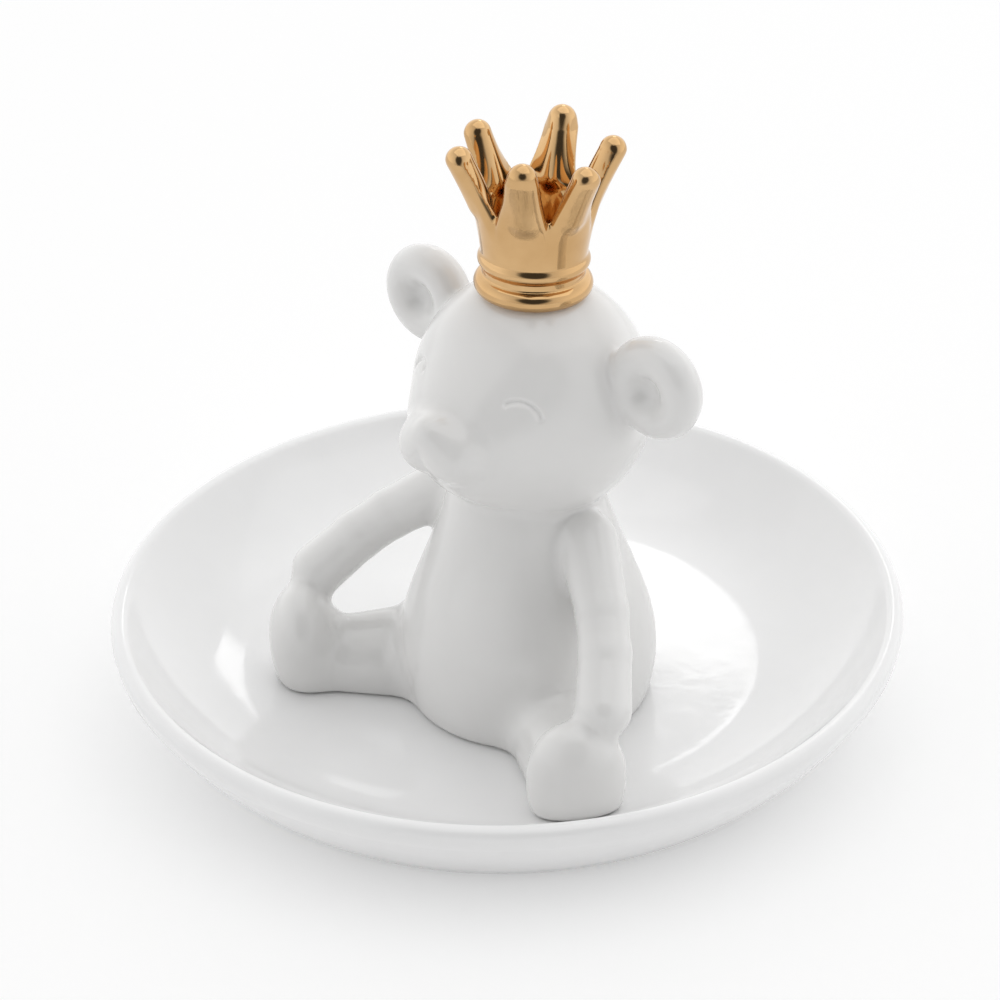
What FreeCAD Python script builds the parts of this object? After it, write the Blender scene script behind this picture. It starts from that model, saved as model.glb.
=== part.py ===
import FreeCAD, Part
import math
import os

# Ring dish: a shallow round dish with a seated bear that wears an open crown.
# Lengths are in millimetres. The origin is the dish's centre on the table, +Z is up,
# the bear faces -Y and its left side is towards +X.

# Dish
dish_radius = 57.0
dish_height = 14.8
lip_round = 1.4
rim_band_height = 2.2
rim_band_draft = 0.7
floor_height = 4.5
floor_flat_radius = 35.0
outer_wall_sag = 0.6
foot_ring_radius = 46.5
foot_ring_width = 2.6
foot_ring_height = 1.2
vent_radius = 2.5

# Bear, placed from the dish's axis
bear_side = 7.2
bear_forward = 3.4
casting_wall = 3.6
cast_passage_radius = 4.0

# Torso, a turned pear that stands on the dish's floor
# Each rise is counted from the place named before it.
torso_base_radius = 17.2
torso_hip_radius = 18.3
torso_hip_rise = 6.5
torso_belly_radius = 17.3
torso_belly_rise = 7.5
torso_chest_radius = 14.2
torso_chest_rise = 8.5
torso_shoulder_radius = 11.6
torso_shoulder_rise = 7.5
torso_neck_radius = 9.4
torso_neck_rise = 7.0

# Head, with its centre above the shoulders
head_rise = 17.2
head_back = 1.8
head_half_width = 17.0
head_half_depth = 16.2
head_half_height = 17.4

# Snout with its two lobes, nose and the engraved eyes
lobe_spread = 2.1
lobe_half_width = 4.3
lobe_half_depth = 4.2
lobe_half_height = 4.1
lobe_stand = 2.1
lobe_drop = 0.5
snout_half_width = 9.8
snout_half_depth = 8.7
snout_half_height = 9.2
snout_drop = 0.6
snout_set_back = 7.2
nose_radius = 2.1
nose_reach = 2.7
nose_rise = 3.4
eye_turn_angle = 33.0
eye_raise_angle = 13.0
eye_tilt_angle = 21.0
eye_sweep_angle = 98.0
eye_arch_radius = 3.25
eye_groove_radius = 0.5

# Ears
ear_radius = 7.2
ear_roll_width = 1.6
ear_roll_front = 2.2
ear_rim_back = 0.2
ear_cup_depth = 2.6
ear_shoulder_back = 2.6
ear_back_dome = 1.0
ear_stand = 3.6
ear_rise = 7.6
ear_set_back = 1.0

# Legs
hip_side = 8.4
hip_forward = 3.5
leg_spread_angle = 48.0
leg_length = 23.7
ankle_set_back = 4.0
leg_axis_height = 2.6
hip_radius = 8.8
ankle_radius = 5.8
foot_half_length = 5.0
foot_half_width = 6.8
foot_half_height = 8.2
foot_rise = 4.0

# Arms
shoulder_radius = 4.2
shoulder_stand = 0.7
shoulder_forward = 1.0
shoulder_drop = 0.6
elbow_radius = 3.6
forearm_radius = 3.5
elbow_out = 9.2
elbow_forward = 7.0
elbow_drop = 7.4
hand_radius = 3.9
hand_set_back = 2.4
hand_out = 4.0
hand_rise = 8.6

# Crown
crown_sink = 2.7
crown_height = 20.9
crown_back = 0.3
crown_lean_angle = 3.0
crown_turn_angle = -5.3
crown_points = 6
crown_tall_rise = 1.2
crown_point_shift_angles = [-5.2, 0, -2.3, 5.7, 0, 6.7]
crown_wall = 2.4
crown_floor = 1.5
crown_tip_circle_radius = 10.4
crown_tip_radius = 1.75
crown_finger_radius = 1.5
crown_foot_radius = 6.4
crown_low_roll_radius = 8.1
crown_low_roll_height = 2.4
crown_groove_radius = 7.4
crown_groove_height = 4.4
crown_high_roll_radius = 7.65
crown_high_roll_height = 6.0
crown_waist_radius = 7.35
crown_waist_height = 7.9
crown_flare_radius = 8.8
crown_flare_height = 14.7
crown_notch_height = 13.9
crown_notch_round = 0.8

# Cutting tools reach this far past what they cut.
overrun = 2.0

up = FreeCAD.Vector(0, 0, 1)
hip_height = floor_height + torso_hip_rise
belly_height = hip_height + torso_belly_rise
chest_height = belly_height + torso_chest_rise
shoulder_height = chest_height + torso_shoulder_rise
neck_height = shoulder_height + torso_neck_rise
torso_centre = FreeCAD.Vector(bear_side, -bear_forward, 0)
head_centre = FreeCAD.Vector(bear_side, head_back - bear_forward, shoulder_height + head_rise)
front_point = crown_points - 1
back_point = front_point - crown_points // 2


def ellipsoid(centre, half_width, half_depth, half_height):
    stretch = FreeCAD.Matrix()
    stretch.A22 = half_depth / half_width
    stretch.A33 = half_height / half_width
    ball = Part.makeSphere(half_width).transformGeometry(stretch)
    ball.translate(centre)
    return ball


def arc(first, middle, last):
    return Part.Arc(first, middle, last).toShape()


def line(first, last):
    return Part.makeLine(first, last)


def sagged(first, last, sag):
    """The point beside the middle of a chord in the XZ plane, to the right of its direction."""
    chord = last - first
    side = FreeCAD.Vector(chord.z, 0, -chord.x).normalize()
    return (first + last) / 2 + side * sag


def dome_point(middle, edge):
    """Halfway point of the arc from a dome's middle, where it lies level, to its edge."""
    rise = edge.z - middle.z
    radius = (edge.x ** 2 + rise ** 2) / (2 * rise)
    half_angle = math.asin(edge.x / radius) / 2
    return flat_point(radius * math.sin(half_angle), middle.z + radius * (1 - math.cos(half_angle)))


def turned(edges, centre):
    """Solid turned about the upright line through a point, from edges in its XZ plane."""
    face = Part.Face(Part.Wire(Part.__sortEdges__(edges)))
    near_half = face.revolve(FreeCAD.Vector(0, 0, 0), up, 180)
    far_half = near_half.copy()
    far_half.rotate(FreeCAD.Vector(0, 0, 0), up, 180)
    solid = near_half.fuse(far_half)
    solid.translate(centre)
    return solid


def flat_point(radius, height):
    return FreeCAD.Vector(radius, 0, height)


def tapered_limb(first, last, first_radius, last_radius):
    """Two balls and the cone that touches both, turned about the line between them."""
    axis = last - first
    lean = math.asin((first_radius - last_radius) / axis.Length)
    first_edge = flat_point(first_radius * math.cos(lean), first_radius * math.sin(lean))
    last_edge = flat_point(last_radius * math.cos(lean), axis.Length + last_radius * math.sin(lean))
    first_turn = (math.pi / 2 - lean) / 2
    first_side = flat_point(first_radius * math.cos(first_turn), -first_radius * math.sin(first_turn))
    last_turn = (math.pi / 2 + lean) / 2
    last_side = flat_point(last_radius * math.cos(last_turn), axis.Length + last_radius * math.sin(last_turn))
    bottom = flat_point(0, -first_radius)
    top = flat_point(0, axis.Length + last_radius)
    edges = [
        arc(bottom, first_side, first_edge),
        line(first_edge, last_edge),
        arc(last_edge, last_side, top),
        line(top, bottom),
    ]
    limb = turned(edges, FreeCAD.Vector(0, 0, 0))
    limb.Placement = FreeCAD.Placement(first, FreeCAD.Rotation(up, axis))
    return limb


def mirrored(shape):
    """The same piece on the bear's other side."""
    return shape.mirror(torso_centre, FreeCAD.Vector(1, 0, 0))


def inside_wall():
    """Foot, middle and top of the inside wall, an arc that meets the floor and the lip smoothly."""
    lip_centre = flat_point(dish_radius - lip_round, dish_height - lip_round)
    floor_edge = flat_point(floor_flat_radius, floor_height)
    reach = lip_centre - floor_edge
    wall_radius = (reach.Length ** 2 - lip_round ** 2) / (2 * (reach.z + lip_round))
    wall_centre = floor_edge + up * wall_radius
    wall_lean = (lip_centre - wall_centre).normalize()
    wall_middle = wall_centre + (wall_lean - up).normalize() * wall_radius
    return floor_edge, wall_middle, wall_centre + wall_lean * wall_radius


def make_dish_form():
    """The dish before its vent is cut."""
    ring_inner = foot_ring_radius - foot_ring_width
    under_middle = flat_point(0, foot_ring_height)
    under_edge = flat_point(ring_inner, foot_ring_height)
    ring_inside = flat_point(ring_inner, 0)
    ring_outside = flat_point(foot_ring_radius, 0)
    lip_height = dish_height - lip_round
    crease = flat_point(dish_radius - rim_band_draft, lip_height - rim_band_height)
    lip_outside = flat_point(dish_radius, lip_height)
    lip_top = flat_point(dish_radius - lip_round, dish_height)
    floor_edge, wall_middle, lip_inside = inside_wall()
    floor_middle = flat_point(0, floor_height)
    edges = [
        line(under_middle, under_edge),
        line(under_edge, ring_inside),
        line(ring_inside, ring_outside),
        arc(ring_outside, sagged(ring_outside, crease, outer_wall_sag), crease),
        line(crease, lip_outside),
        arc(lip_outside, lip_top, lip_inside),
        arc(lip_inside, wall_middle, floor_edge),
        line(floor_edge, floor_middle),
        line(floor_middle, under_middle),
    ]
    return turned(edges, FreeCAD.Vector(0, 0, 0))


def vent():
    """Upright hole from the torso's hollow to the dish's underside."""
    return Part.makeCylinder(vent_radius, floor_height + casting_wall + 2 * overrun, torso_centre - up * overrun)


def torso_form(inset):
    """The turned pear, made smaller all round by the inset."""
    rows = [
        (torso_base_radius, floor_height),
        (torso_hip_radius, hip_height),
        (torso_belly_radius, belly_height),
        (torso_chest_radius, chest_height),
        (torso_shoulder_radius, shoulder_height),
        (torso_neck_radius, neck_height),
    ]
    rise_share = 1 - inset / (neck_height - floor_height)
    side_points = []
    for radius, height in rows:
        inset_height = neck_height - (neck_height - height) * rise_share
        side_points.append(flat_point(radius - inset, inset_height))
    side = Part.BSplineCurve()
    side.interpolate(side_points)
    bottom = flat_point(0, side_points[0].z)
    top = flat_point(0, side_points[-1].z)
    edges = [
        line(bottom, side_points[0]),
        side.toShape(),
        line(side_points[-1], top),
        line(top, bottom),
    ]
    return turned(edges, torso_centre)


def cast_passage():
    """Upright hole that joins the hollows of the torso and the head."""
    start = torso_centre + up * chest_height
    return Part.makeCylinder(cast_passage_radius, head_centre.z - start.z, start)


def make_torso(head_form):
    torso = torso_form(0).cut(head_form)
    hollow = torso_form(casting_wall).cut(ellipsoid(
        head_centre,
        head_half_width + casting_wall,
        head_half_depth + casting_wall,
        head_half_height + casting_wall,
    ))
    return torso.cut(hollow).cut(cast_passage()).cut(vent())


def make_head_form():
    """Outside of the head with its snout, two lobes and button nose."""
    head = ellipsoid(head_centre, head_half_width, head_half_depth, head_half_height)
    lobes = head_centre - FreeCAD.Vector(0, head_half_depth + lobe_stand, lobe_drop)
    snout = lobes + FreeCAD.Vector(0, snout_set_back, -snout_drop)
    head = head.fuse(ellipsoid(snout, snout_half_width, snout_half_depth, snout_half_height))
    for side in (-lobe_spread, lobe_spread):
        lobe_centre = lobes + FreeCAD.Vector(side, 0, 0)
        head = head.fuse(ellipsoid(lobe_centre, lobe_half_width, lobe_half_depth, lobe_half_height))
    nose_centre = lobes + FreeCAD.Vector(0, -nose_reach, nose_rise)
    return head.fuse(Part.makeSphere(nose_radius, nose_centre))


def eye_groove():
    """Round-ended arch laid on the left side of the face."""
    turn = math.radians(eye_turn_angle)
    rise = math.radians(eye_raise_angle)
    outward = FreeCAD.Vector(math.sin(turn) * math.cos(rise), -math.cos(turn) * math.cos(rise), math.sin(rise))
    on_face = FreeCAD.Vector(outward.x * head_half_width, outward.y * head_half_depth, outward.z * head_half_height)
    normal = FreeCAD.Vector(
        outward.x / head_half_width,
        outward.y / head_half_depth,
        outward.z / head_half_height,
    ).normalize()
    across = up.cross(normal).normalize()
    start = FreeCAD.Rotation(normal, 90 - eye_sweep_angle / 2 - eye_tilt_angle).multVec(across)
    finish = FreeCAD.Rotation(normal, eye_sweep_angle).multVec(start)
    middle = head_centre + on_face
    first = middle + start * eye_arch_radius
    ring = Part.Wire(Part.makeCircle(eye_groove_radius, first, normal.cross(start)))
    arch = Part.Face(ring).revolve(middle, normal, eye_sweep_angle)
    for end in (first, middle + finish * eye_arch_radius):
        arch = arch.fuse(Part.makeSphere(eye_groove_radius, end))
    return arch


def make_head(head_form):
    hollow = ellipsoid(
        head_centre,
        head_half_width - casting_wall,
        head_half_depth - casting_wall,
        head_half_height - casting_wall,
    )
    left_eye = eye_groove()
    return head_form.cut(hollow).cut(cast_passage()).cut(left_eye).cut(mirrored(left_eye))


def make_left_ear(head_form):
    """Dished round ear, turned about the line it faces along and seated on the head."""
    roll_radius = ear_radius - ear_roll_width
    cup_middle = flat_point(0, ear_roll_front - ear_cup_depth)
    roll_front = flat_point(roll_radius, ear_roll_front)
    rim = flat_point(ear_radius, -ear_rim_back)
    shoulder = flat_point(roll_radius, -ear_shoulder_back)
    back_middle = flat_point(0, -ear_shoulder_back - ear_back_dome)
    edges = [
        arc(cup_middle, dome_point(cup_middle, roll_front), roll_front),
        arc(roll_front, rim, shoulder),
        arc(shoulder, dome_point(back_middle, shoulder), back_middle),
        line(back_middle, cup_middle),
    ]
    ear = turned(edges, FreeCAD.Vector(0, 0, 0))
    ear.rotate(FreeCAD.Vector(0, 0, 0), FreeCAD.Vector(1, 0, 0), 90)
    ear.translate(head_centre + FreeCAD.Vector(head_half_width + ear_stand, ear_set_back, ear_rise))
    return ear.cut(head_form)


def leg_direction():
    spread = math.radians(leg_spread_angle)
    return FreeCAD.Vector(math.sin(spread), -math.cos(spread), 0)


def hip_place():
    return torso_centre + FreeCAD.Vector(hip_side, -hip_forward, floor_height + leg_axis_height)


def foot_place():
    return hip_place() + leg_direction() * leg_length + up * foot_rise


def below_inside():
    """Everything under the dish's inside that a leg could reach."""
    floor_edge, wall_middle, lip_inside = inside_wall()
    depth = floor_height - hip_radius
    floor_middle = flat_point(0, floor_height)
    low_middle = flat_point(0, depth)
    low_edge = flat_point(lip_inside.x, depth)
    edges = [
        line(floor_middle, floor_edge),
        arc(floor_edge, wall_middle, lip_inside),
        line(lip_inside, low_edge),
        line(low_edge, low_middle),
        line(low_middle, floor_middle),
    ]
    return turned(edges, FreeCAD.Vector(0, 0, 0))


def make_leg_form():
    """Left leg and foot before they meet the dish and the torso."""
    hip = hip_place()
    ankle = hip + leg_direction() * (leg_length - ankle_set_back)
    leg = tapered_limb(hip, ankle, hip_radius, ankle_radius)
    foot = ellipsoid(FreeCAD.Vector(0, 0, 0), foot_half_width, foot_half_length, foot_half_height)
    foot.rotate(FreeCAD.Vector(0, 0, 0), up, leg_spread_angle)
    foot.translate(foot_place())
    return leg.fuse(foot)


def seated(leg_form, torso_outside):
    """A leg as it lies in the dish against the torso."""
    return leg_form.cut(below_inside()).cut(torso_outside)


def make_left_arm(torso_outside, leg):
    shoulder = torso_centre + FreeCAD.Vector(
        torso_shoulder_radius + shoulder_stand,
        -shoulder_forward,
        shoulder_height - shoulder_drop,
    )
    elbow = shoulder + FreeCAD.Vector(elbow_out, -elbow_forward, -elbow_drop)
    along = leg_direction()
    outward = up.cross(along)
    hand = foot_place() - along * hand_set_back + outward * hand_out + up * hand_rise
    upper_arm = tapered_limb(shoulder, elbow, shoulder_radius, elbow_radius)
    lower_arm = tapered_limb(hand, elbow, hand_radius, forearm_radius)
    return upper_arm.fuse(lower_arm).cut(torso_outside).cut(leg)


def crown_side(inset):
    """Outline of the crown's wall from its foot to the tip circle, moved in by the inset."""
    rows = [
        (crown_foot_radius, 0),
        (crown_low_roll_radius, crown_low_roll_height),
        (crown_groove_radius, crown_groove_height),
        (crown_high_roll_radius, crown_high_roll_height),
        (crown_waist_radius, crown_waist_height),
        (crown_flare_radius, crown_flare_height),
        (crown_tip_circle_radius + crown_wall / 2, crown_height),
    ]
    points = []
    for radius, height in rows:
        points.append(flat_point(radius - inset, height))
    return points


def crown_outside():
    points = crown_side(0)
    side = Part.BSplineCurve()
    side.interpolate(points)
    bottom = flat_point(0, 0)
    top = flat_point(0, crown_height)
    edges = [line(bottom, points[0]), side.toShape(), line(points[-1], top), line(top, bottom)]
    return turned(edges, FreeCAD.Vector(0, 0, 0))


def crown_inside():
    """Open hollow above the crown's floor."""
    waist, flare, tip = crown_side(crown_wall)[-3:]
    side = Part.BSplineCurve()
    side.interpolate([waist, flare, tip])
    bottom = flat_point(0, crown_sink + crown_floor)
    bottom_edge = flat_point(waist.x, bottom.z)
    top = flat_point(0, tip.z + overrun)
    top_edge = flat_point(tip.x, top.z)
    edges = [
        line(bottom, bottom_edge),
        line(bottom_edge, waist),
        side.toShape(),
        line(tip, top_edge),
        line(top_edge, top),
        line(top, bottom),
    ]
    return turned(edges, FreeCAD.Vector(0, 0, 0))


def crown_point_angles():
    """Turn of each point about the crown, shaped by hand and so not quite even."""
    angles = []
    for point in range(crown_points):
        angles.append(point * 360 / crown_points + crown_point_shift_angles[point])
    return angles


def crown_notch(half_gap_angle):
    """Upright vee with a rounded bottom that parts two points of the crown."""
    half_gap = crown_tip_circle_radius * math.sin(math.radians(half_gap_angle))
    half_tip = math.sqrt(crown_tip_radius ** 2 - (crown_wall / 2) ** 2)
    half_mouth = half_gap - half_tip
    slope = half_mouth / (crown_height - crown_notch_height)
    top = crown_height + overrun
    half_top = half_mouth + slope * overrun
    round_height = crown_notch_height + crown_notch_round
    corners = [
        FreeCAD.Vector(0, -crown_notch_round, round_height),
        FreeCAD.Vector(0, -half_top, top),
        FreeCAD.Vector(0, half_top, top),
        FreeCAD.Vector(0, crown_notch_round, round_height),
    ]
    reach = FreeCAD.Vector(crown_tip_circle_radius + crown_wall + overrun, 0, 0)
    vee = Part.Face(Part.makePolygon(corners + corners[:1])).extrude(reach)
    bottom = FreeCAD.Vector(0, 0, round_height)
    return vee.fuse(Part.makeCylinder(crown_notch_round, reach.x, bottom, FreeCAD.Vector(1, 0, 0)))


def make_crown(head_form):
    crown = crown_outside().cut(crown_inside())
    angles = crown_point_angles()
    for here, after in zip(angles, angles[1:] + [angles[0] + 360]):
        notch = crown_notch((after - here) / 2)
        notch.rotate(FreeCAD.Vector(0, 0, 0), up, (here + after) / 2)
        crown = crown.cut(notch)
    root = flat_point(crown_flare_radius - crown_wall / 2, crown_flare_height)
    end = flat_point(crown_tip_circle_radius, crown_height)
    for point, angle in enumerate(angles):
        finger = tapered_limb(root, end, crown_finger_radius, crown_tip_radius)
        if point in (back_point, front_point):
            finger = finger.fuse(tapered_limb(end, end + up * crown_tall_rise, crown_tip_radius, crown_tip_radius))
        finger.rotate(FreeCAD.Vector(0, 0, 0), up, angle)
        crown = crown.fuse(finger)
    crown.rotate(FreeCAD.Vector(0, 0, 0), up, crown_turn_angle)
    crown.rotate(FreeCAD.Vector(0, 0, 0), FreeCAD.Vector(1, 0, 0), -crown_lean_angle)
    crown.translate(head_centre + FreeCAD.Vector(0, crown_back, head_half_height - crown_sink))
    return crown.cut(head_form)


os.makedirs("parts", exist_ok=True)

head_form = make_head_form()
torso_outside = torso_form(0)
leg_form = make_leg_form()
left_leg = seated(leg_form, torso_outside)
left_arm = make_left_arm(torso_outside, left_leg)
left_ear = make_left_ear(head_form)

pieces = {
    "dish": make_dish_form().cut(vent()),
    "torso": make_torso(head_form),
    "head": make_head(head_form),
    "left_ear": left_ear,
    "right_ear": mirrored(left_ear),
    "left_arm": left_arm,
    "right_arm": mirrored(left_arm),
    "left_leg": left_leg,
    "right_leg": seated(mirrored(leg_form), torso_outside),
    "crown": make_crown(head_form),
}
for node, piece in pieces.items():
    piece.exportStep("parts/" + node + ".step")
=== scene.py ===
import math

import bpy
import numpy as np
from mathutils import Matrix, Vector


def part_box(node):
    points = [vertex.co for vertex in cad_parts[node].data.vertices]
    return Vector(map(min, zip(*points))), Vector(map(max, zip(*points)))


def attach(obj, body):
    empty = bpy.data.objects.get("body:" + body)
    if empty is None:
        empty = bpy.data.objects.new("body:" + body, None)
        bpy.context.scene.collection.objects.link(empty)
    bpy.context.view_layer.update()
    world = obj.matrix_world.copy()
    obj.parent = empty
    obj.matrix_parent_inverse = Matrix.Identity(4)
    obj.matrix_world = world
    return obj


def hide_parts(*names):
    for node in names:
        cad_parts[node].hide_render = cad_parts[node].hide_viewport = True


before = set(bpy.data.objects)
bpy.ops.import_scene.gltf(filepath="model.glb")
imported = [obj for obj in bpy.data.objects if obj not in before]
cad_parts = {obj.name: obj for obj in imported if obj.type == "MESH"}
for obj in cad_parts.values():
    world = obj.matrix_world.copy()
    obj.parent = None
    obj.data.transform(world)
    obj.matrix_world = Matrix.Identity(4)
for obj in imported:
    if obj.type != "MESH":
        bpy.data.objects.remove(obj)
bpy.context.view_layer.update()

import openvdb
from mathutils import Quaternion, Vector

# Ring dish: a glazed white bear with a gold crown, seated in a round dish.
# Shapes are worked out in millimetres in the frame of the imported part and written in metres.
MM = 0.001


def box_mm(node):
    low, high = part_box(node)
    return np.array(low) / MM, np.array(high) / MM


dish_high = box_mm("dish")[1]
torso_low, torso_high = box_mm("torso")
head_low, head_high = box_mm("head")
ear_low, ear_high = box_mm("left_ear")

# Dish
dish_radius = dish_high[0]
dish_height = dish_high[2]
lip_round = 1.4
rim_band_height = 2.2
rim_band_draft = 0.7
floor_height = torso_low[2]
floor_flat_radius = 35.0
outer_wall_sag = 0.6
foot_ring_radius = 46.5
foot_ring_width = 2.6
foot_ring_height = 1.2
foot_ring_round = 0.5
foot_ring_edge = 0.1
band_knee_in = 0.3
band_knee_rise = 0.7
floor_guard = 2.0
plate_radius = 30.0
underside_radius = 38.0
vent_radius = 2.5
vent_depth = 14.0
vent_round = 0.3

# Bear: points are taken from its mid-plane
bear_x = (torso_low[0] + torso_high[0]) / 2
torso_y = (torso_low[1] + torso_high[1]) / 2
torso_rises = np.array([0, 6.5, 14.0, 22.5, 30.0, 37.0])
torso_radii = np.array([17.2, (torso_high[0] - torso_low[0]) / 2, 17.3, 14.2, 11.6, 9.4])
shoulder_height = floor_height + torso_rises[4]
neck_height = floor_height + torso_rises[5]
neck_round = 2.0

# Head and face
head_half = np.array([(head_high[0] - head_low[0]) / 2, 16.2, 17.4])
head_centre = np.array([0, head_high[1] - head_half[1], head_high[2] - head_half[2]])
muzzle_stand = 2.1
muzzle_drop = 0.5
muzzle = head_centre - np.array([0, head_half[1] + muzzle_stand, muzzle_drop])
lobe_spread = 2.1
lobe_half = np.array([4.3, 4.2, 4.1])
bridge_centre = muzzle + np.array([0, 7.2, -0.6])
bridge_half = np.array([9.8, 8.7, 9.2])
nose_centre = muzzle + np.array([0, -2.4, 3.2])
nose_radius = 1.8
lobe_cleft = 0.5
bridge_blend = 4.0
lobe_blend = 2.0
nose_blend = 3.4
eye_turn = math.radians(33)
eye_raise = math.radians(13)
eye_tilt = math.radians(21)
eye_sweep = math.radians(98)
eye_arch_radius = 3.25
eye_groove_depth = 0.38
eye_groove_width = 0.4
eye_reach = 4.0

# Ears
ear_radius = (ear_high[2] - ear_low[2]) / 2
ear_back = 3.6
ear_height = (ear_low[2] + ear_high[2]) / 2
ear_centre = np.array([ear_high[0] - ear_radius - bear_x, ear_high[1] - ear_back, ear_height])
ear_ring_half = 2.7
ear_ring_radius = ear_radius - ear_ring_half
ear_ring_back = 0.4
ear_pad_half = np.array([5.6, 1.6, 5.6])
ear_pad_centre = np.array([0, 1.6, 0])
ear_pad_blend = 2.0

# Limbs
leg_turn = math.radians(48)
leg_along = np.array([math.sin(leg_turn), -math.cos(leg_turn), 0])
leg_across = np.array([math.cos(leg_turn), math.sin(leg_turn), 0])
leg_length = 23.7
ankle_set_back = 4.0
hip_side = 8.4
hip_forward = 3.5
hip_rise = 2.6
hip = np.array([hip_side, torso_y - hip_forward, floor_height + hip_rise])
hip_radius = 8.8
ankle = hip + leg_along * (leg_length - ankle_set_back)
ankle_radius = 5.8
foot_rise = 4.0
foot = hip + leg_along * leg_length + np.array([0, 0, foot_rise])
foot_half = np.array([6.8, 5.0, 8.2])
foot_low_half = 11.0
foot_blend = 3.0
shoulder_stand = 0.7
shoulder_forward = 1.0
shoulder_drop = 0.6
shoulder_side = torso_radii[4] + shoulder_stand
shoulder = np.array([shoulder_side, torso_y - shoulder_forward, shoulder_height - shoulder_drop])
shoulder_radius = 4.2
upper_arm = np.array([9.5, -7.3, -7.2])
elbow = shoulder + upper_arm
elbow_radius = 3.6
elbow_round = 3.0
elbow_blend = 0.6
hand_set_back = 2.4
hand_side = 4.0
hand_rise = 8.6
hand = foot - leg_along * hand_set_back + leg_across * hand_side + np.array([0, 0, hand_rise])
hand_radius = 3.9
elbow_start = elbow + (shoulder - elbow) * elbow_round / np.linalg.norm(shoulder - elbow)
elbow_end = elbow + (hand - elbow) * elbow_round / np.linalg.norm(hand - elbow)

# Crown
crown_sink = 2.7
crown_height = 20.9
crown_lean = math.radians(3.0)
crown_turn = math.radians(-5.3)
crown_points = 6
crown_shifts = np.radians([-5.2, 0, -2.3, 5.7, 0, 6.7])
crown_tall_points = (2, 5)
crown_tall_rise = 1.15
crown_wall = 2.4
crown_floor = 1.5
crown_tip_circle = 10.4
crown_tip_radius = 1.75
crown_point_half = 1.6
crown_finger_radius = 1.5
crown_rise = np.array([0, 7.9, 14.7, crown_height])
crown_radii = np.array([6.5, 7.35, 8.8, crown_tip_circle + crown_wall / 2])
# Each roll: circle, height and radius
crown_low_roll = (6.7, 2.4, 1.4)
crown_high_roll = (6.65, 6.0, 1.0)
crown_notch = 13.9
crown_set_back = 0.3
crown_base = head_centre + np.array([0, crown_set_back, head_half[2] - crown_sink])
crown_top_over = 0.4
crown_top_round = 2.0
crown_notch_round = 0.9
crown_edge_round = 2.2
crown_finger_blend = 1.5
crown_roll_blend = 0.4
crown_floor_blend = 0.8
crown_seat_sink = 0.3
crown_seat_round = 0.2

# How softly neighbouring forms run into each other
neck_blend = 1.2
ear_blend = 1.6
leg_blend = 3.0
arm_blend = 2.0
blends = {
    "head": neck_blend,
    "left_ear": ear_blend,
    "right_ear": ear_blend,
    "left_leg": leg_blend,
    "right_leg": leg_blend,
    "left_arm": arm_blend,
    "right_arm": arm_blend,
}

# How a piece of the bear ends under its neighbours, and how it meets the dish
seam_ease = 0.3
seam_reach = 1.0
seam_round = 0.4
skin_reach = 0.3
base_round = 0.9

# Meshes: grid steps of the pieces made from fields, and rings and points of the dish
mesh_steps = {
    "torso": 0.45,
    "head": 0.3,
    "left_ear": 0.35,
    "right_ear": 0.35,
    "left_arm": 0.35,
    "right_arm": 0.35,
    "left_leg": 0.4,
    "right_leg": 0.4,
}
crown_step = 0.25
grid_margin = 1.6
far_off = 9.0
grid_depth = 3.0
slope_nudge = 0.02
projections = 3
least_slope_2 = 0.1
tiny = 1e-6
dish_segments = 256
outer_wall_steps = 16
lip_steps = 14
inner_wall_steps = 24
plate_steps = 6


def smooth_min(first, second, reach):
    meet = np.maximum(reach - np.abs(first - second), 0) / reach
    return np.minimum(first, second) - meet * meet * reach / 4


def smooth_max(first, second, reach):
    return -smooth_min(-first, -second, reach)


def ellipsoid(p, centre, half):
    q = (p - centre) / half
    outer = np.sqrt((q * q).sum(-1)) + tiny
    inner = np.sqrt(((q / half) ** 2).sum(-1)) + tiny
    return outer * (outer - 1) / inner


def limb(p, first, last, first_radius, last_radius):
    """Distance to two balls and the cone that touches both."""
    axis = last - first
    length_2 = axis @ axis
    change = first_radius - last_radius
    side_2 = length_2 - change * change
    q = p - first
    along = q @ axis
    past = along - length_2
    off = q * length_2 - along[..., None] * axis
    off_2 = (off * off).sum(-1)
    along_2 = along * along * length_2
    past_2 = past * past * length_2
    cone_edge = np.sign(change) * change * change * off_2
    at_last = np.sqrt(off_2 + past_2) / length_2 - last_radius
    at_first = np.sqrt(off_2 + along_2) / length_2 - first_radius
    at_side = (np.sqrt(off_2 * side_2 / length_2) + along * change) / length_2 - first_radius
    ball = np.where(np.sign(along) * side_2 * along_2 < cone_edge, at_first, at_side)
    return np.where(np.sign(past) * side_2 * past_2 > cone_edge, at_last, ball)


def circle_through(first, middle, last):
    """Centre and radius of the circle through three points of a flat outline."""
    rows = np.array([np.subtract(middle, first), np.subtract(last, first)], float)
    centre = np.array(first) + np.linalg.solve(rows, (rows * rows).sum(1) / 2)
    return centre, np.linalg.norm(centre - np.array(first))


def sagged(first, last, sag):
    chord = np.subtract(last, first)
    side = np.array([chord[1], -chord[0]]) / np.linalg.norm(chord)
    return (np.array(first) + np.array(last)) / 2 + side * sag


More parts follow.
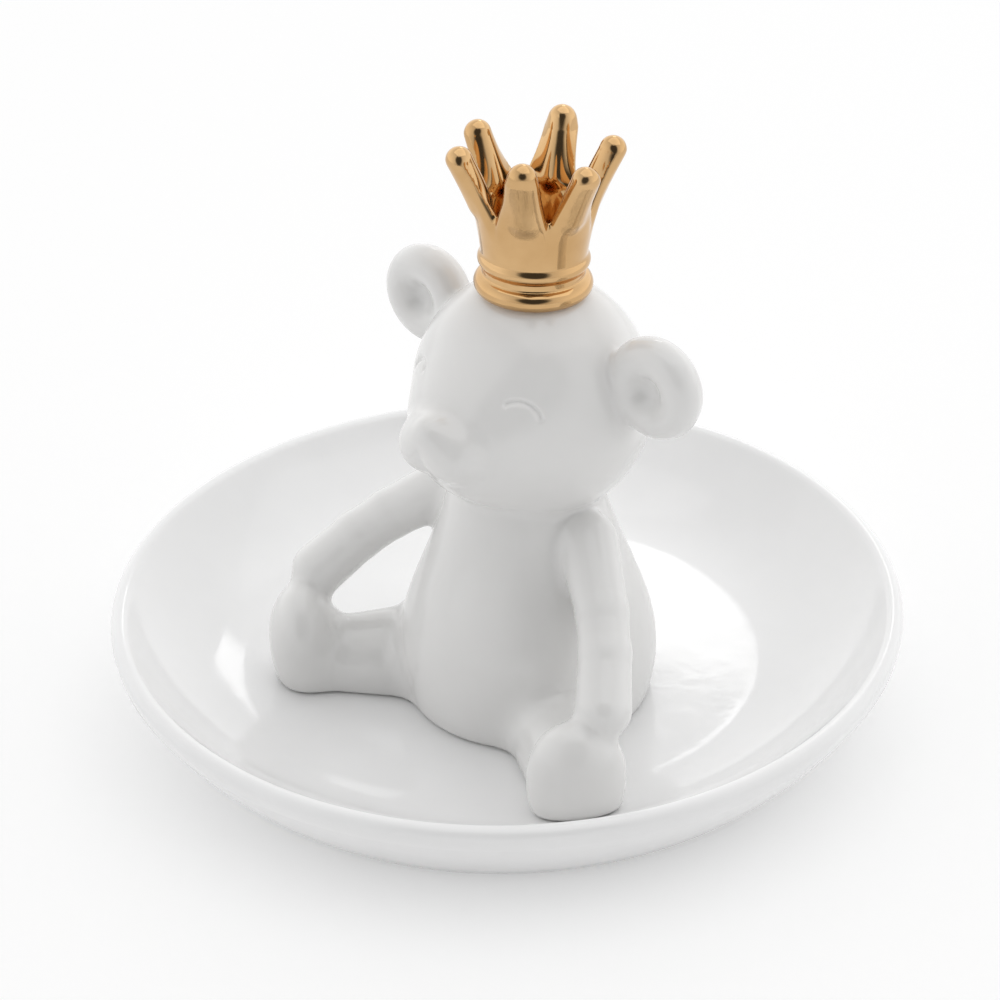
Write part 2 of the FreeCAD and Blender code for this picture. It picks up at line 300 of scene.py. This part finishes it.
# The inside wall leaves the floor level and runs smoothly into the round lip.
lip_centre = np.array([dish_radius - lip_round, dish_height - lip_round])
lip_reach = lip_centre - np.array([floor_flat_radius, floor_height])
wall_radius = (lip_reach @ lip_reach - lip_round ** 2) / (2 * (lip_reach[1] + lip_round))
wall_centre = np.array([floor_flat_radius, floor_height + wall_radius])
wall_lean = (lip_centre - wall_centre) / np.linalg.norm(lip_centre - wall_centre)
lip_inside = wall_centre + wall_lean * wall_radius
floor_edge = (floor_flat_radius, floor_height)
wall_turn = math.atan2(wall_lean[1], wall_lean[0])
wall_middle_turn = (wall_turn - math.pi / 2) / 2
wall_middle = wall_centre + wall_radius * np.array([math.cos(wall_middle_turn), math.sin(wall_middle_turn)])


def dish_top(p):
    """Height of the dish's inside under each point."""
    out = np.clip(np.hypot(p[..., 0] + bear_x, p[..., 1]), 0, lip_inside[0]) - wall_centre[0]
    wall = wall_centre[1] - np.sqrt(np.maximum(wall_radius ** 2 - out * out, 0))
    return np.where(out + wall_centre[0] < floor_flat_radius, floor_height, wall)


torso_curve = np.polyfit(torso_rises, torso_radii, len(torso_rises) - 1)
torso_slope = np.polyder(torso_curve)
crown_curve = np.polyfit(crown_rise, crown_radii, len(crown_rise) - 1)


def torso_field(p):
    rise = np.clip(p[..., 2] - floor_height, 0, torso_rises[-1])
    radius = np.polyval(torso_curve, rise)
    taper = np.polyval(torso_slope, rise)
    side = (np.hypot(p[..., 0], p[..., 1] - torso_y) - radius) / np.sqrt(1 + taper * taper)
    return smooth_max(side, p[..., 2] - neck_height, neck_round)


eye_out = np.array([
    math.sin(eye_turn) * math.cos(eye_raise),
    -math.cos(eye_turn) * math.cos(eye_raise),
    math.sin(eye_raise),
])
eye_middle = head_centre + eye_out * head_half
eye_normal = eye_out / head_half
eye_normal = eye_normal / np.linalg.norm(eye_normal)
eye_across = np.cross((0, 0, 1), eye_normal)
eye_across = eye_across / np.linalg.norm(eye_across)
eye_up = np.cross(eye_normal, eye_across)


def eye_groove(p):
    """How deep the engraved arch of the closed eye goes under each point."""
    q = p - eye_middle
    across, rise, out = q @ eye_across, q @ eye_up, q @ eye_normal
    low = math.pi / 2 - eye_sweep / 2 - eye_tilt
    angle = np.clip(np.arctan2(rise, across), low, low + eye_sweep)
    gap = np.hypot(across - eye_arch_radius * np.cos(angle), rise - eye_arch_radius * np.sin(angle))
    return eye_groove_depth * np.exp(-(gap / eye_groove_width) ** 2) * (np.abs(out) < eye_reach)


def head_field(p):
    side = p.copy()
    side[..., 0] = np.abs(side[..., 0])
    skull = ellipsoid(side, head_centre, head_half)
    lobe_offset = np.array([lobe_spread, 0, 0])
    near_lobe = ellipsoid(side, muzzle + lobe_offset, lobe_half)
    far_lobe = ellipsoid(side, muzzle - lobe_offset, lobe_half)
    lobes = smooth_min(near_lobe, far_lobe, lobe_cleft)
    face = smooth_min(skull, ellipsoid(side, bridge_centre, bridge_half), bridge_blend)
    face = smooth_min(face, lobes, lobe_blend)
    nose = np.sqrt(((side - nose_centre) ** 2).sum(-1)) - nose_radius
    face = smooth_min(face, nose, nose_blend)
    return face + eye_groove(side)


def ear_field(p):
    """Soft round cushion: a thick ring with a pad that fills its middle from behind."""
    q = p - ear_centre
    out = np.hypot(q[..., 0], q[..., 2])
    ring = np.hypot(out - ear_ring_radius, q[..., 1] - ear_ring_back) - ear_ring_half
    return smooth_min(ring, ellipsoid(q, ear_pad_centre, ear_pad_half), ear_pad_blend)


def leg_field(p):
    leg = limb(p, hip, ankle, hip_radius, ankle_radius)
    q = p - foot
    rise = np.where(q[..., 2] < 0, q[..., 2] * foot_half[2] / foot_low_half, q[..., 2])
    local = np.stack([q @ leg_across, q @ leg_along, rise], -1)
    return smooth_min(leg, ellipsoid(local, np.zeros(3), foot_half), foot_blend)


def arm_field(p):
    upper = limb(p, shoulder, elbow_start, shoulder_radius, elbow_radius)
    bend = limb(p, elbow_start, elbow_end, elbow_radius, elbow_radius)
    lower = limb(p, hand, elbow_end, hand_radius, elbow_radius)
    return smooth_min(smooth_min(upper, lower, elbow_blend), bend, elbow_blend)


def bear_fields(p):
    q = p.copy()
    q[..., 0] -= bear_x
    other = q * np.array([-1, 1, 1], q.dtype)
    return {
        "torso": torso_field(q),
        "head": head_field(q),
        "left_ear": ear_field(q),
        "right_ear": ear_field(other),
        "left_leg": leg_field(q),
        "right_leg": leg_field(other),
        "left_arm": arm_field(q),
        "right_arm": arm_field(other),
    }


def bear_skin(p, forms=None):
    """Field of the whole bear, its forms run softly together and set down on the dish."""
    forms = forms or bear_fields(p)
    skin = forms["torso"]
    for name, blend in blends.items():
        skin = smooth_min(skin, forms[name], blend)
    q = p.copy()
    q[..., 0] -= bear_x
    return smooth_max(skin, dish_top(q) - p[..., 2], base_round)


def bear_piece(node):
    """Field of one piece of the bear: the whole bear's skin, ending just inside its neighbours."""
    def field(p):
        forms = bear_fields(p)
        skin = bear_skin(p, forms)
        others = np.min([forms[name] for name in forms if name != node], axis=0)
        past = forms[node] - others
        beyond = np.maximum(past, 0)
        sink = np.where(beyond < seam_ease, beyond ** 2 / (2 * seam_ease), beyond - seam_ease / 2)
        piece = smooth_max(skin + sink, past - seam_reach, seam_round)
        if node == "torso":
            bore = np.hypot(p[..., 0] - bear_x, p[..., 1] - torso_y) - vent_radius
            bore = np.maximum(bore, p[..., 2] - floor_height - vent_depth)
            piece = smooth_max(piece, -bore, vent_round)
        return piece
    return field


def crown_field(p):
    q = p - (crown_base + np.array([bear_x, 0, 0]))
    lean_cos, lean_sin = math.cos(crown_lean), math.sin(crown_lean)
    x = q[..., 0]
    y = q[..., 1] * lean_cos - q[..., 2] * lean_sin
    z = q[..., 1] * lean_sin + q[..., 2] * lean_cos
    out = np.hypot(x, y)
    rise = np.clip(z, 0, crown_height)
    outer = np.polyval(crown_curve, rise)
    middle = outer - crown_wall / 2
    wall = np.abs(out - middle) - crown_wall / 2
    angle = np.arctan2(y, x)
    pitch = 2 * math.pi / crown_points
    turns, heights = [], []
    for point in range(crown_points):
        turns.append(crown_turn + point * pitch + crown_shifts[point])
        heights.append(crown_height + crown_tall_rise * (point in crown_tall_points))
    points = tips = far_off
    finger_root = np.array([crown_radii[2] - crown_wall / 2, 0, crown_rise[2]])
    for point in range(crown_points):
        after = (turns[(point + 1) % crown_points] - turns[point]) % (2 * math.pi) / 2
        before = (turns[point] - turns[point - 1]) % (2 * math.pi) / 2
        off = (angle - turns[point] + math.pi) % (2 * math.pi) - math.pi
        half_gap = np.where(off > 0, after, before)
        tall_by = heights[point] - crown_notch
        taper = (crown_tip_circle * half_gap - crown_point_half) / tall_by
        half_width = out * half_gap - taper * (z - crown_notch)
        side = (out * np.abs(off) - half_width) / np.sqrt(1 + taper * taper)
        finger = smooth_max(side, z - heights[point] - crown_top_over, crown_top_round)
        points = smooth_min(points, finger, crown_notch_round)
        local = np.stack([out * np.cos(off), out * np.sin(off), z], -1)
        end = np.array([crown_tip_circle, 0, heights[point]])
        tips = np.minimum(tips, limb(local, end, finger_root, crown_tip_radius, crown_finger_radius))
    body = smooth_max(wall, points, crown_edge_round)
    crown = smooth_min(body, tips, crown_finger_blend)
    for circle, height, radius in (crown_low_roll, crown_high_roll):
        roll = np.hypot(out - circle, z - height) - radius
        crown = smooth_min(crown, roll, crown_roll_blend)
    plug = np.maximum(out - middle, z - crown_sink - crown_floor)
    crown = smooth_min(crown, plug, crown_floor_blend)
    h = p.copy()
    h[..., 0] -= bear_x
    return smooth_max(crown, -head_field(h) - crown_seat_sink, crown_seat_round)


def slope(field, p):
    """How steeply a field rises along each axis."""
    parts = []
    for axis in range(3):
        move = np.zeros(3)
        move[axis] = slope_nudge
        parts.append((field(p + move) - field(p - move)) / (2 * slope_nudge))
    return np.stack(parts, -1)


def field_mesh(name, field, low, high, step, skin=None):
    """Closed mesh of the inside of a field; normals come from the field, or from the skin it lies in."""
    low = np.array(low) - grid_margin
    counts = np.ceil((np.array(high) + grid_margin - low) / step).astype(int) + 1
    axes = [(low[i] + step * np.arange(counts[i])).astype(np.float32) for i in range(3)]
    values = np.empty(counts, np.float32)
    y, z = np.meshgrid(axes[1], axes[2], indexing="ij")
    for i, x in enumerate(axes[0]):
        values[i] = field(np.stack([np.full_like(y, x), y, z], -1))
    grid = openvdb.FloatGrid(grid_depth)
    grid.copyFromArray(np.clip(values, -grid_depth, grid_depth))
    points, quads = grid.convertToQuads(0.0)
    points = low + points.astype(float) * step

    for _ in range(projections):
        lean = slope(field, points)
        lean_2 = np.maximum((lean * lean).sum(-1, keepdims=True), least_slope_2)
        step_in = field(points)[:, None] * lean / lean_2
        points -= np.clip(step_in, -step / 2, step / 2)
    lean = slope(field, points)
    if skin:
        in_skin = np.abs(skin(points)) < skin_reach
        lean[in_skin] = slope(skin, points[in_skin])
    normals = lean / np.maximum(np.linalg.norm(lean, axis=1, keepdims=True), tiny)
    mesh = bpy.data.meshes.new(name)
    mesh.from_pydata((points * MM).tolist(), [], quads.tolist())
    mesh.shade_smooth()
    mesh.normals_split_custom_set_from_vertices(normals.tolist())
    return mesh


def add_piece(name, mesh, node, material):
    piece = bpy.data.objects.new(name, mesh)
    bpy.context.scene.collection.objects.link(piece)
    mesh.materials.append(material)
    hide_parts(node)
    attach(piece, "root")


def arc_points(first, middle, last, count):
    """Points along the arc, without its last one."""
    centre, radius = circle_through(first, middle, last)
    turns = [math.atan2(q[1] - centre[1], q[0] - centre[0]) for q in (first, middle, last)]
    turns = np.unwrap(turns)
    angles = np.linspace(turns[0], turns[2], count, endpoint=False)
    return [(centre[0] + radius * math.cos(a), centre[1] + radius * math.sin(a)) for a in angles]


def dish_mesh(segments):
    lip_height = dish_height - lip_round
    ring_inner = foot_ring_radius - foot_ring_width
    crease = (dish_radius - rim_band_draft, lip_height - rim_band_height)
    lip_outside = (dish_radius, lip_height)
    lip_top = (dish_radius - lip_round, dish_height)
    ring_outside = (foot_ring_radius, 0)
    profile = [(plate_radius, foot_ring_height), (underside_radius, foot_ring_height)]
    profile += [(ring_inner - foot_ring_round, foot_ring_height)]
    profile += [(ring_inner - foot_ring_edge, foot_ring_height - foot_ring_edge)]
    profile += [(ring_inner, foot_ring_height - foot_ring_round)]
    profile += [(ring_inner + foot_ring_edge, foot_ring_edge), (ring_inner + foot_ring_round, 0)]
    profile += [(foot_ring_radius - foot_ring_round, 0)]
    wall = arc_points(ring_outside, sagged(ring_outside, crease, outer_wall_sag), crease, outer_wall_steps)
    profile += wall[1:]
    profile += [crease, (dish_radius - band_knee_in, crease[1] + band_knee_rise)]
    profile += arc_points(lip_outside, lip_top, lip_inside, lip_steps)
    profile += arc_points(lip_inside, wall_middle, floor_edge, inner_wall_steps)
    profile += [floor_edge, (floor_flat_radius - floor_guard, floor_height), (plate_radius, floor_height)]
    turns = np.arange(segments) * 2 * math.pi / segments
    circle = np.stack([np.cos(turns), np.sin(turns)], 1)
    vent = np.array([bear_x, torso_y])
    rings = []
    for radius, height in profile:
        rings.append(np.column_stack([circle * radius, np.full(segments, height)]))
    shares = np.linspace(0, 1, plate_steps + 1)[1:]
    for height, inward in ((floor_height, shares), (foot_ring_height, shares[::-1])):
        for share in inward:
            flat = circle * (plate_radius * (1 - share) + vent_radius * share) + vent * share
            rings.append(np.column_stack([flat, np.full(segments, height)]))
    points = np.concatenate(rings) * MM
    faces = []
    for ring in range(len(rings)):
        here, after = ring * segments, (ring + 1) % len(rings) * segments
        for side in range(segments):
            beside = (side + 1) % segments
            faces.append((here + side, here + beside, after + beside, after + side))
    mesh = bpy.data.meshes.new("dish_visual")
    mesh.from_pydata(points.tolist(), [], faces)
    mesh.shade_smooth()
    return mesh


def new_node(tree, kind, **inputs):
    made = tree.nodes.new(kind)
    for name, value in inputs.items():
        made.inputs[name.replace("_", " ")].default_value = value
    return made


def noise(tree, scale, detail):
    place = tree.nodes.new("ShaderNodeTexCoord")
    made = new_node(tree, "ShaderNodeTexNoise", Scale=scale, Detail=detail)
    tree.links.new(place.outputs["Object"], made.inputs["Vector"])
    return made.outputs["Fac"]


def map_range(tree, value, low, high, to_low, to_high):
    made = tree.nodes.new("ShaderNodeMapRange")
    for name, number in (("From Min", low), ("From Max", high), ("To Min", to_low), ("To Max", to_high)):
        made.inputs[name].default_value = number
    tree.links.new(value, made.inputs["Value"])
    return made.outputs["Result"]


def mix_colours(tree, share, first, second):
    made = tree.nodes.new("ShaderNodeMix")
    made.data_type = "RGBA"
    made.inputs[6].default_value = (*first, 1)
    made.inputs[7].default_value = (*second, 1)
    tree.links.new(share, made.inputs[0])
    return made.outputs[2]


def bump(tree, height, strength, distance):
    made = new_node(tree, "ShaderNodeBump", Strength=strength, Distance=distance)
    tree.links.new(height, made.inputs["Height"])
    return made.outputs["Normal"]


def new_material(name):
    material = bpy.data.materials.new(name)
    material.use_nodes = True
    return material, material.node_tree, material.node_tree.nodes["Principled BSDF"]


def make_porcelain(name, thin, thick):
    """White glaze, a little darker where it lies thin."""
    material, tree, shader = new_material(name)
    cloud = noise(tree, scale=45.0, detail=4.0)
    shade = map_range(tree, cloud, *noise_range, 0.0, 1.0)
    colour = mix_colours(tree, shade, thin, thick)
    tree.links.new(colour, shader.inputs["Base Color"])
    gloss = map_range(tree, noise(tree, scale=120.0, detail=2.0), *noise_range, *glaze_roughness)
    tree.links.new(gloss, shader.inputs["Roughness"])
    ripple = noise(tree, scale=260.0, detail=2.0)
    tree.links.new(bump(tree, ripple, strength=0.06, distance=0.0004), shader.inputs["Normal"])
    shader.inputs["IOR"].default_value = glaze_ior
    return material


def make_gold():
    """Bright lustre over the glaze, a little deeper where it lies thick."""
    material, tree, shader = new_material("gold_lustre")
    cloud = map_range(tree, noise(tree, scale=160.0, detail=3.0), *noise_range, 0.0, 1.0)
    colour = mix_colours(tree, cloud, gold_deep, gold_pale)
    tree.links.new(colour, shader.inputs["Base Color"])
    gloss = map_range(tree, noise(tree, scale=420.0, detail=2.0), *noise_range, *gold_roughness)
    tree.links.new(gloss, shader.inputs["Roughness"])
    ripple = noise(tree, scale=240.0, detail=1.0)
    tree.links.new(bump(tree, ripple, strength=0.12, distance=0.0006), shader.inputs["Normal"])
    shader.inputs["Metallic"].default_value = 1.0
    return material


# Materials: each runs between two near colours, and so does its roughness
noise_range = (0.3, 0.7)
dish_thin, dish_thick = (0.86, 0.86, 0.86), (0.90, 0.90, 0.90)
# The bear's colours are the dish's white porcelain painted a little darker: painted shade that stands in
# for the shade on the bear.
shaded_bear_thin, shaded_bear_thick = (0.765, 0.76, 0.75), (0.805, 0.80, 0.79)
gold_deep, gold_pale = (0.575, 0.355, 0.16), (0.665, 0.43, 0.212)
glaze_roughness = (0.07, 0.13)
gold_roughness = (0.05, 0.14)
glaze_ior = 1.6
dish_glaze = make_porcelain("dish_glaze", dish_thin, dish_thick)
# Bear material: painted shade, a darker copy of the dish's white glaze.
shaded_bear_glaze = make_porcelain("shaded_bear_glaze", shaded_bear_thin, shaded_bear_thick)
gold = make_gold()

fine = 1.0
add_piece("dish_visual", dish_mesh(dish_segments), "dish", dish_glaze)
for name, step in mesh_steps.items():
    mesh = field_mesh(name + "_visual", bear_piece(name), *box_mm(name), step * fine, bear_skin)
    add_piece(name + "_visual", mesh, name, shaded_bear_glaze)
crown_mesh = field_mesh("crown_visual", crown_field, *box_mm("crown"), crown_step * fine)
add_piece("crown_visual", crown_mesh, "crown", gold)

# Camera at the photograph's viewing angle
azimuth = math.radians(42.788)
elevation = math.radians(34.594)
camera_distance = 498.682
aim_side = -0.645
aim_height = 30.686
camera_roll = math.radians(-1.216)
camera_lens = 122.285
camera_sensor = 36.0
camera_near, camera_far = 10.0, 20000.0
towards = Vector((math.sin(azimuth), -math.cos(azimuth), 0))
rightwards = Vector((math.cos(azimuth), math.sin(azimuth), 0))
up = Vector((0, 0, 1))
camera_data = bpy.data.cameras.new("camera")
camera_data.lens = camera_lens
camera_data.sensor_width = camera_sensor
camera_data.clip_start = camera_near * MM
camera_data.clip_end = camera_far * MM
camera = bpy.data.objects.new("camera", camera_data)
bpy.context.scene.collection.objects.link(camera)
camera.location = (towards * math.cos(elevation) + up * math.sin(elevation)) * camera_distance * MM
aim = (rightwards * aim_side + up * aim_height) * MM
camera.rotation_mode = "QUATERNION"
facing = (aim - camera.location).to_track_quat("-Z", "Y")
camera.rotation_quaternion = facing @ Quaternion((0, 0, 1), camera_roll)
bpy.context.scene.camera = camera

# Floor, in metres: white paper that looks partly lit from behind, so it stays white and keeps the shadow
floor_half = 3.0
floor_white_share = 0.4
floor_mesh = bpy.data.meshes.new("floor")
floor_signs = ((-1, -1), (1, -1), (1, 1), (-1, 1))
floor_mesh.from_pydata([(x * floor_half, y * floor_half, 0) for x, y in floor_signs], [], [(0, 1, 2, 3)])
floor = bpy.data.objects.new("floor", floor_mesh)
bpy.context.scene.collection.objects.link(floor)
floor_material, floor_tree, floor_shader = new_material("floor_white")
floor_shader.inputs["Base Color"].default_value = (1, 1, 1, 1)
floor_shader.inputs["Roughness"].default_value = 1.0
floor_shader.inputs["Specular IOR Level"].default_value = 0.0
floor_white = new_node(floor_tree, "ShaderNodeEmission", Strength=1.0)
floor_mix = floor_tree.nodes.new("ShaderNodeMixShader")
floor_seen = floor_tree.nodes.new("ShaderNodeLightPath")
floor_rays = floor_seen.outputs["Is Camera Ray"]
for ray in ("Is Glossy Ray", "Is Transmission Ray"):
    either = floor_tree.nodes.new("ShaderNodeMath")
    either.operation = "MAXIMUM"
    floor_tree.links.new(floor_rays, either.inputs[0])
    floor_tree.links.new(floor_seen.outputs[ray], either.inputs[1])
    floor_rays = either.outputs["Value"]
floor_share = map_range(floor_tree, floor_rays, 0.0, 1.0, 0.0, floor_white_share)
floor_tree.links.new(floor_share, floor_mix.inputs[0])
floor_tree.links.new(floor_shader.outputs[0], floor_mix.inputs[1])
floor_tree.links.new(floor_white.outputs[0], floor_mix.inputs[2])
floor_tree.links.new(floor_mix.outputs[0], floor_tree.nodes["Material Output"].inputs["Surface"])
floor_mesh.materials.append(floor_material)

# Light, in metres: a bright tent, dimmest on the camera's side, with a lamp above and a small one behind
tent_top = 0.72
tent_sides = ((rightwards, 1.25), (-rightwards, 1.22), (towards, 0.6), (-towards, 1.3))
opening_core = math.radians(22)
opening_edge = math.radians(34)
opening_level = 0.1
top_light_place = -towards * 0.1 + rightwards * 0.15 + up * 0.95
top_light_size = (1.2, 1.2)
top_light_power = 2.1
back_light_place = -towards * 0.85 + rightwards * 0.13 + up * 0.53
back_light_size = (0.17, 0.12)
back_light_power = 0.15
lamp_aim = Vector((0, 0, 0.03))
world = bpy.data.worlds.new("studio")
bpy.context.scene.world = world
world.use_nodes = True
sky = world.node_tree
background = sky.nodes["Background"]
background.inputs["Color"].default_value = (1, 1, 1, 1)
place = sky.nodes.new("ShaderNodeTexCoord")


def sky_sum(operation, first, second):
    made = new_node(sky, "ShaderNodeMath")
    made.operation = operation
    for socket, value in zip(made.inputs, (first, second)):
        if isinstance(value, float):
            socket.default_value = value
        else:
            sky.links.new(value, socket)
    return made.outputs["Value"]


def lit_from(direction, level):
    """Light of one side of the tent, falling away from its middle."""
    made = sky.nodes.new("ShaderNodeVectorMath")
    made.operation = "DOT_PRODUCT"
    made.inputs[1].default_value = direction
    sky.links.new(place.outputs["Generated"], made.inputs[0])
    facing_it = sky_sum("MAXIMUM", made.outputs["Value"], 0.0)
    return sky_sum("MULTIPLY", sky_sum("MULTIPLY", facing_it, facing_it), level)


# The tent stands open around the camera
opening = sky.nodes.new("ShaderNodeVectorMath")
opening.operation = "DOT_PRODUCT"
opening.inputs[1].default_value = camera.location.normalized()
sky.links.new(place.outputs["Generated"], opening.inputs[0])
opening_range = (math.cos(opening_edge), math.cos(opening_core))
cloth = map_range(sky, opening.outputs["Value"], *opening_range, 1.0, opening_level)
tent = lit_from(up, tent_top)
for side, level in tent_sides:
    tent = sky_sum("ADD", tent, lit_from(side, level))
sky.links.new(sky_sum("MULTIPLY", tent, cloth), background.inputs["Strength"])


def softbox(name, place_from, size, power):
    lamp = bpy.data.lights.new(name, "AREA")
    lamp.shape = "RECTANGLE"
    lamp.size, lamp.size_y = size
    lamp.energy = power
    made = bpy.data.objects.new(name, lamp)
    bpy.context.scene.collection.objects.link(made)
    made.location = place_from
    made.rotation_mode = "QUATERNION"
    made.rotation_quaternion = (lamp_aim - made.location).to_track_quat("-Z", "Y")


softbox("top_light", top_light_place, top_light_size, top_light_power)
softbox("back_light", back_light_place, back_light_size, back_light_power)

bpy.context.scene.view_settings.view_transform = "Standard"
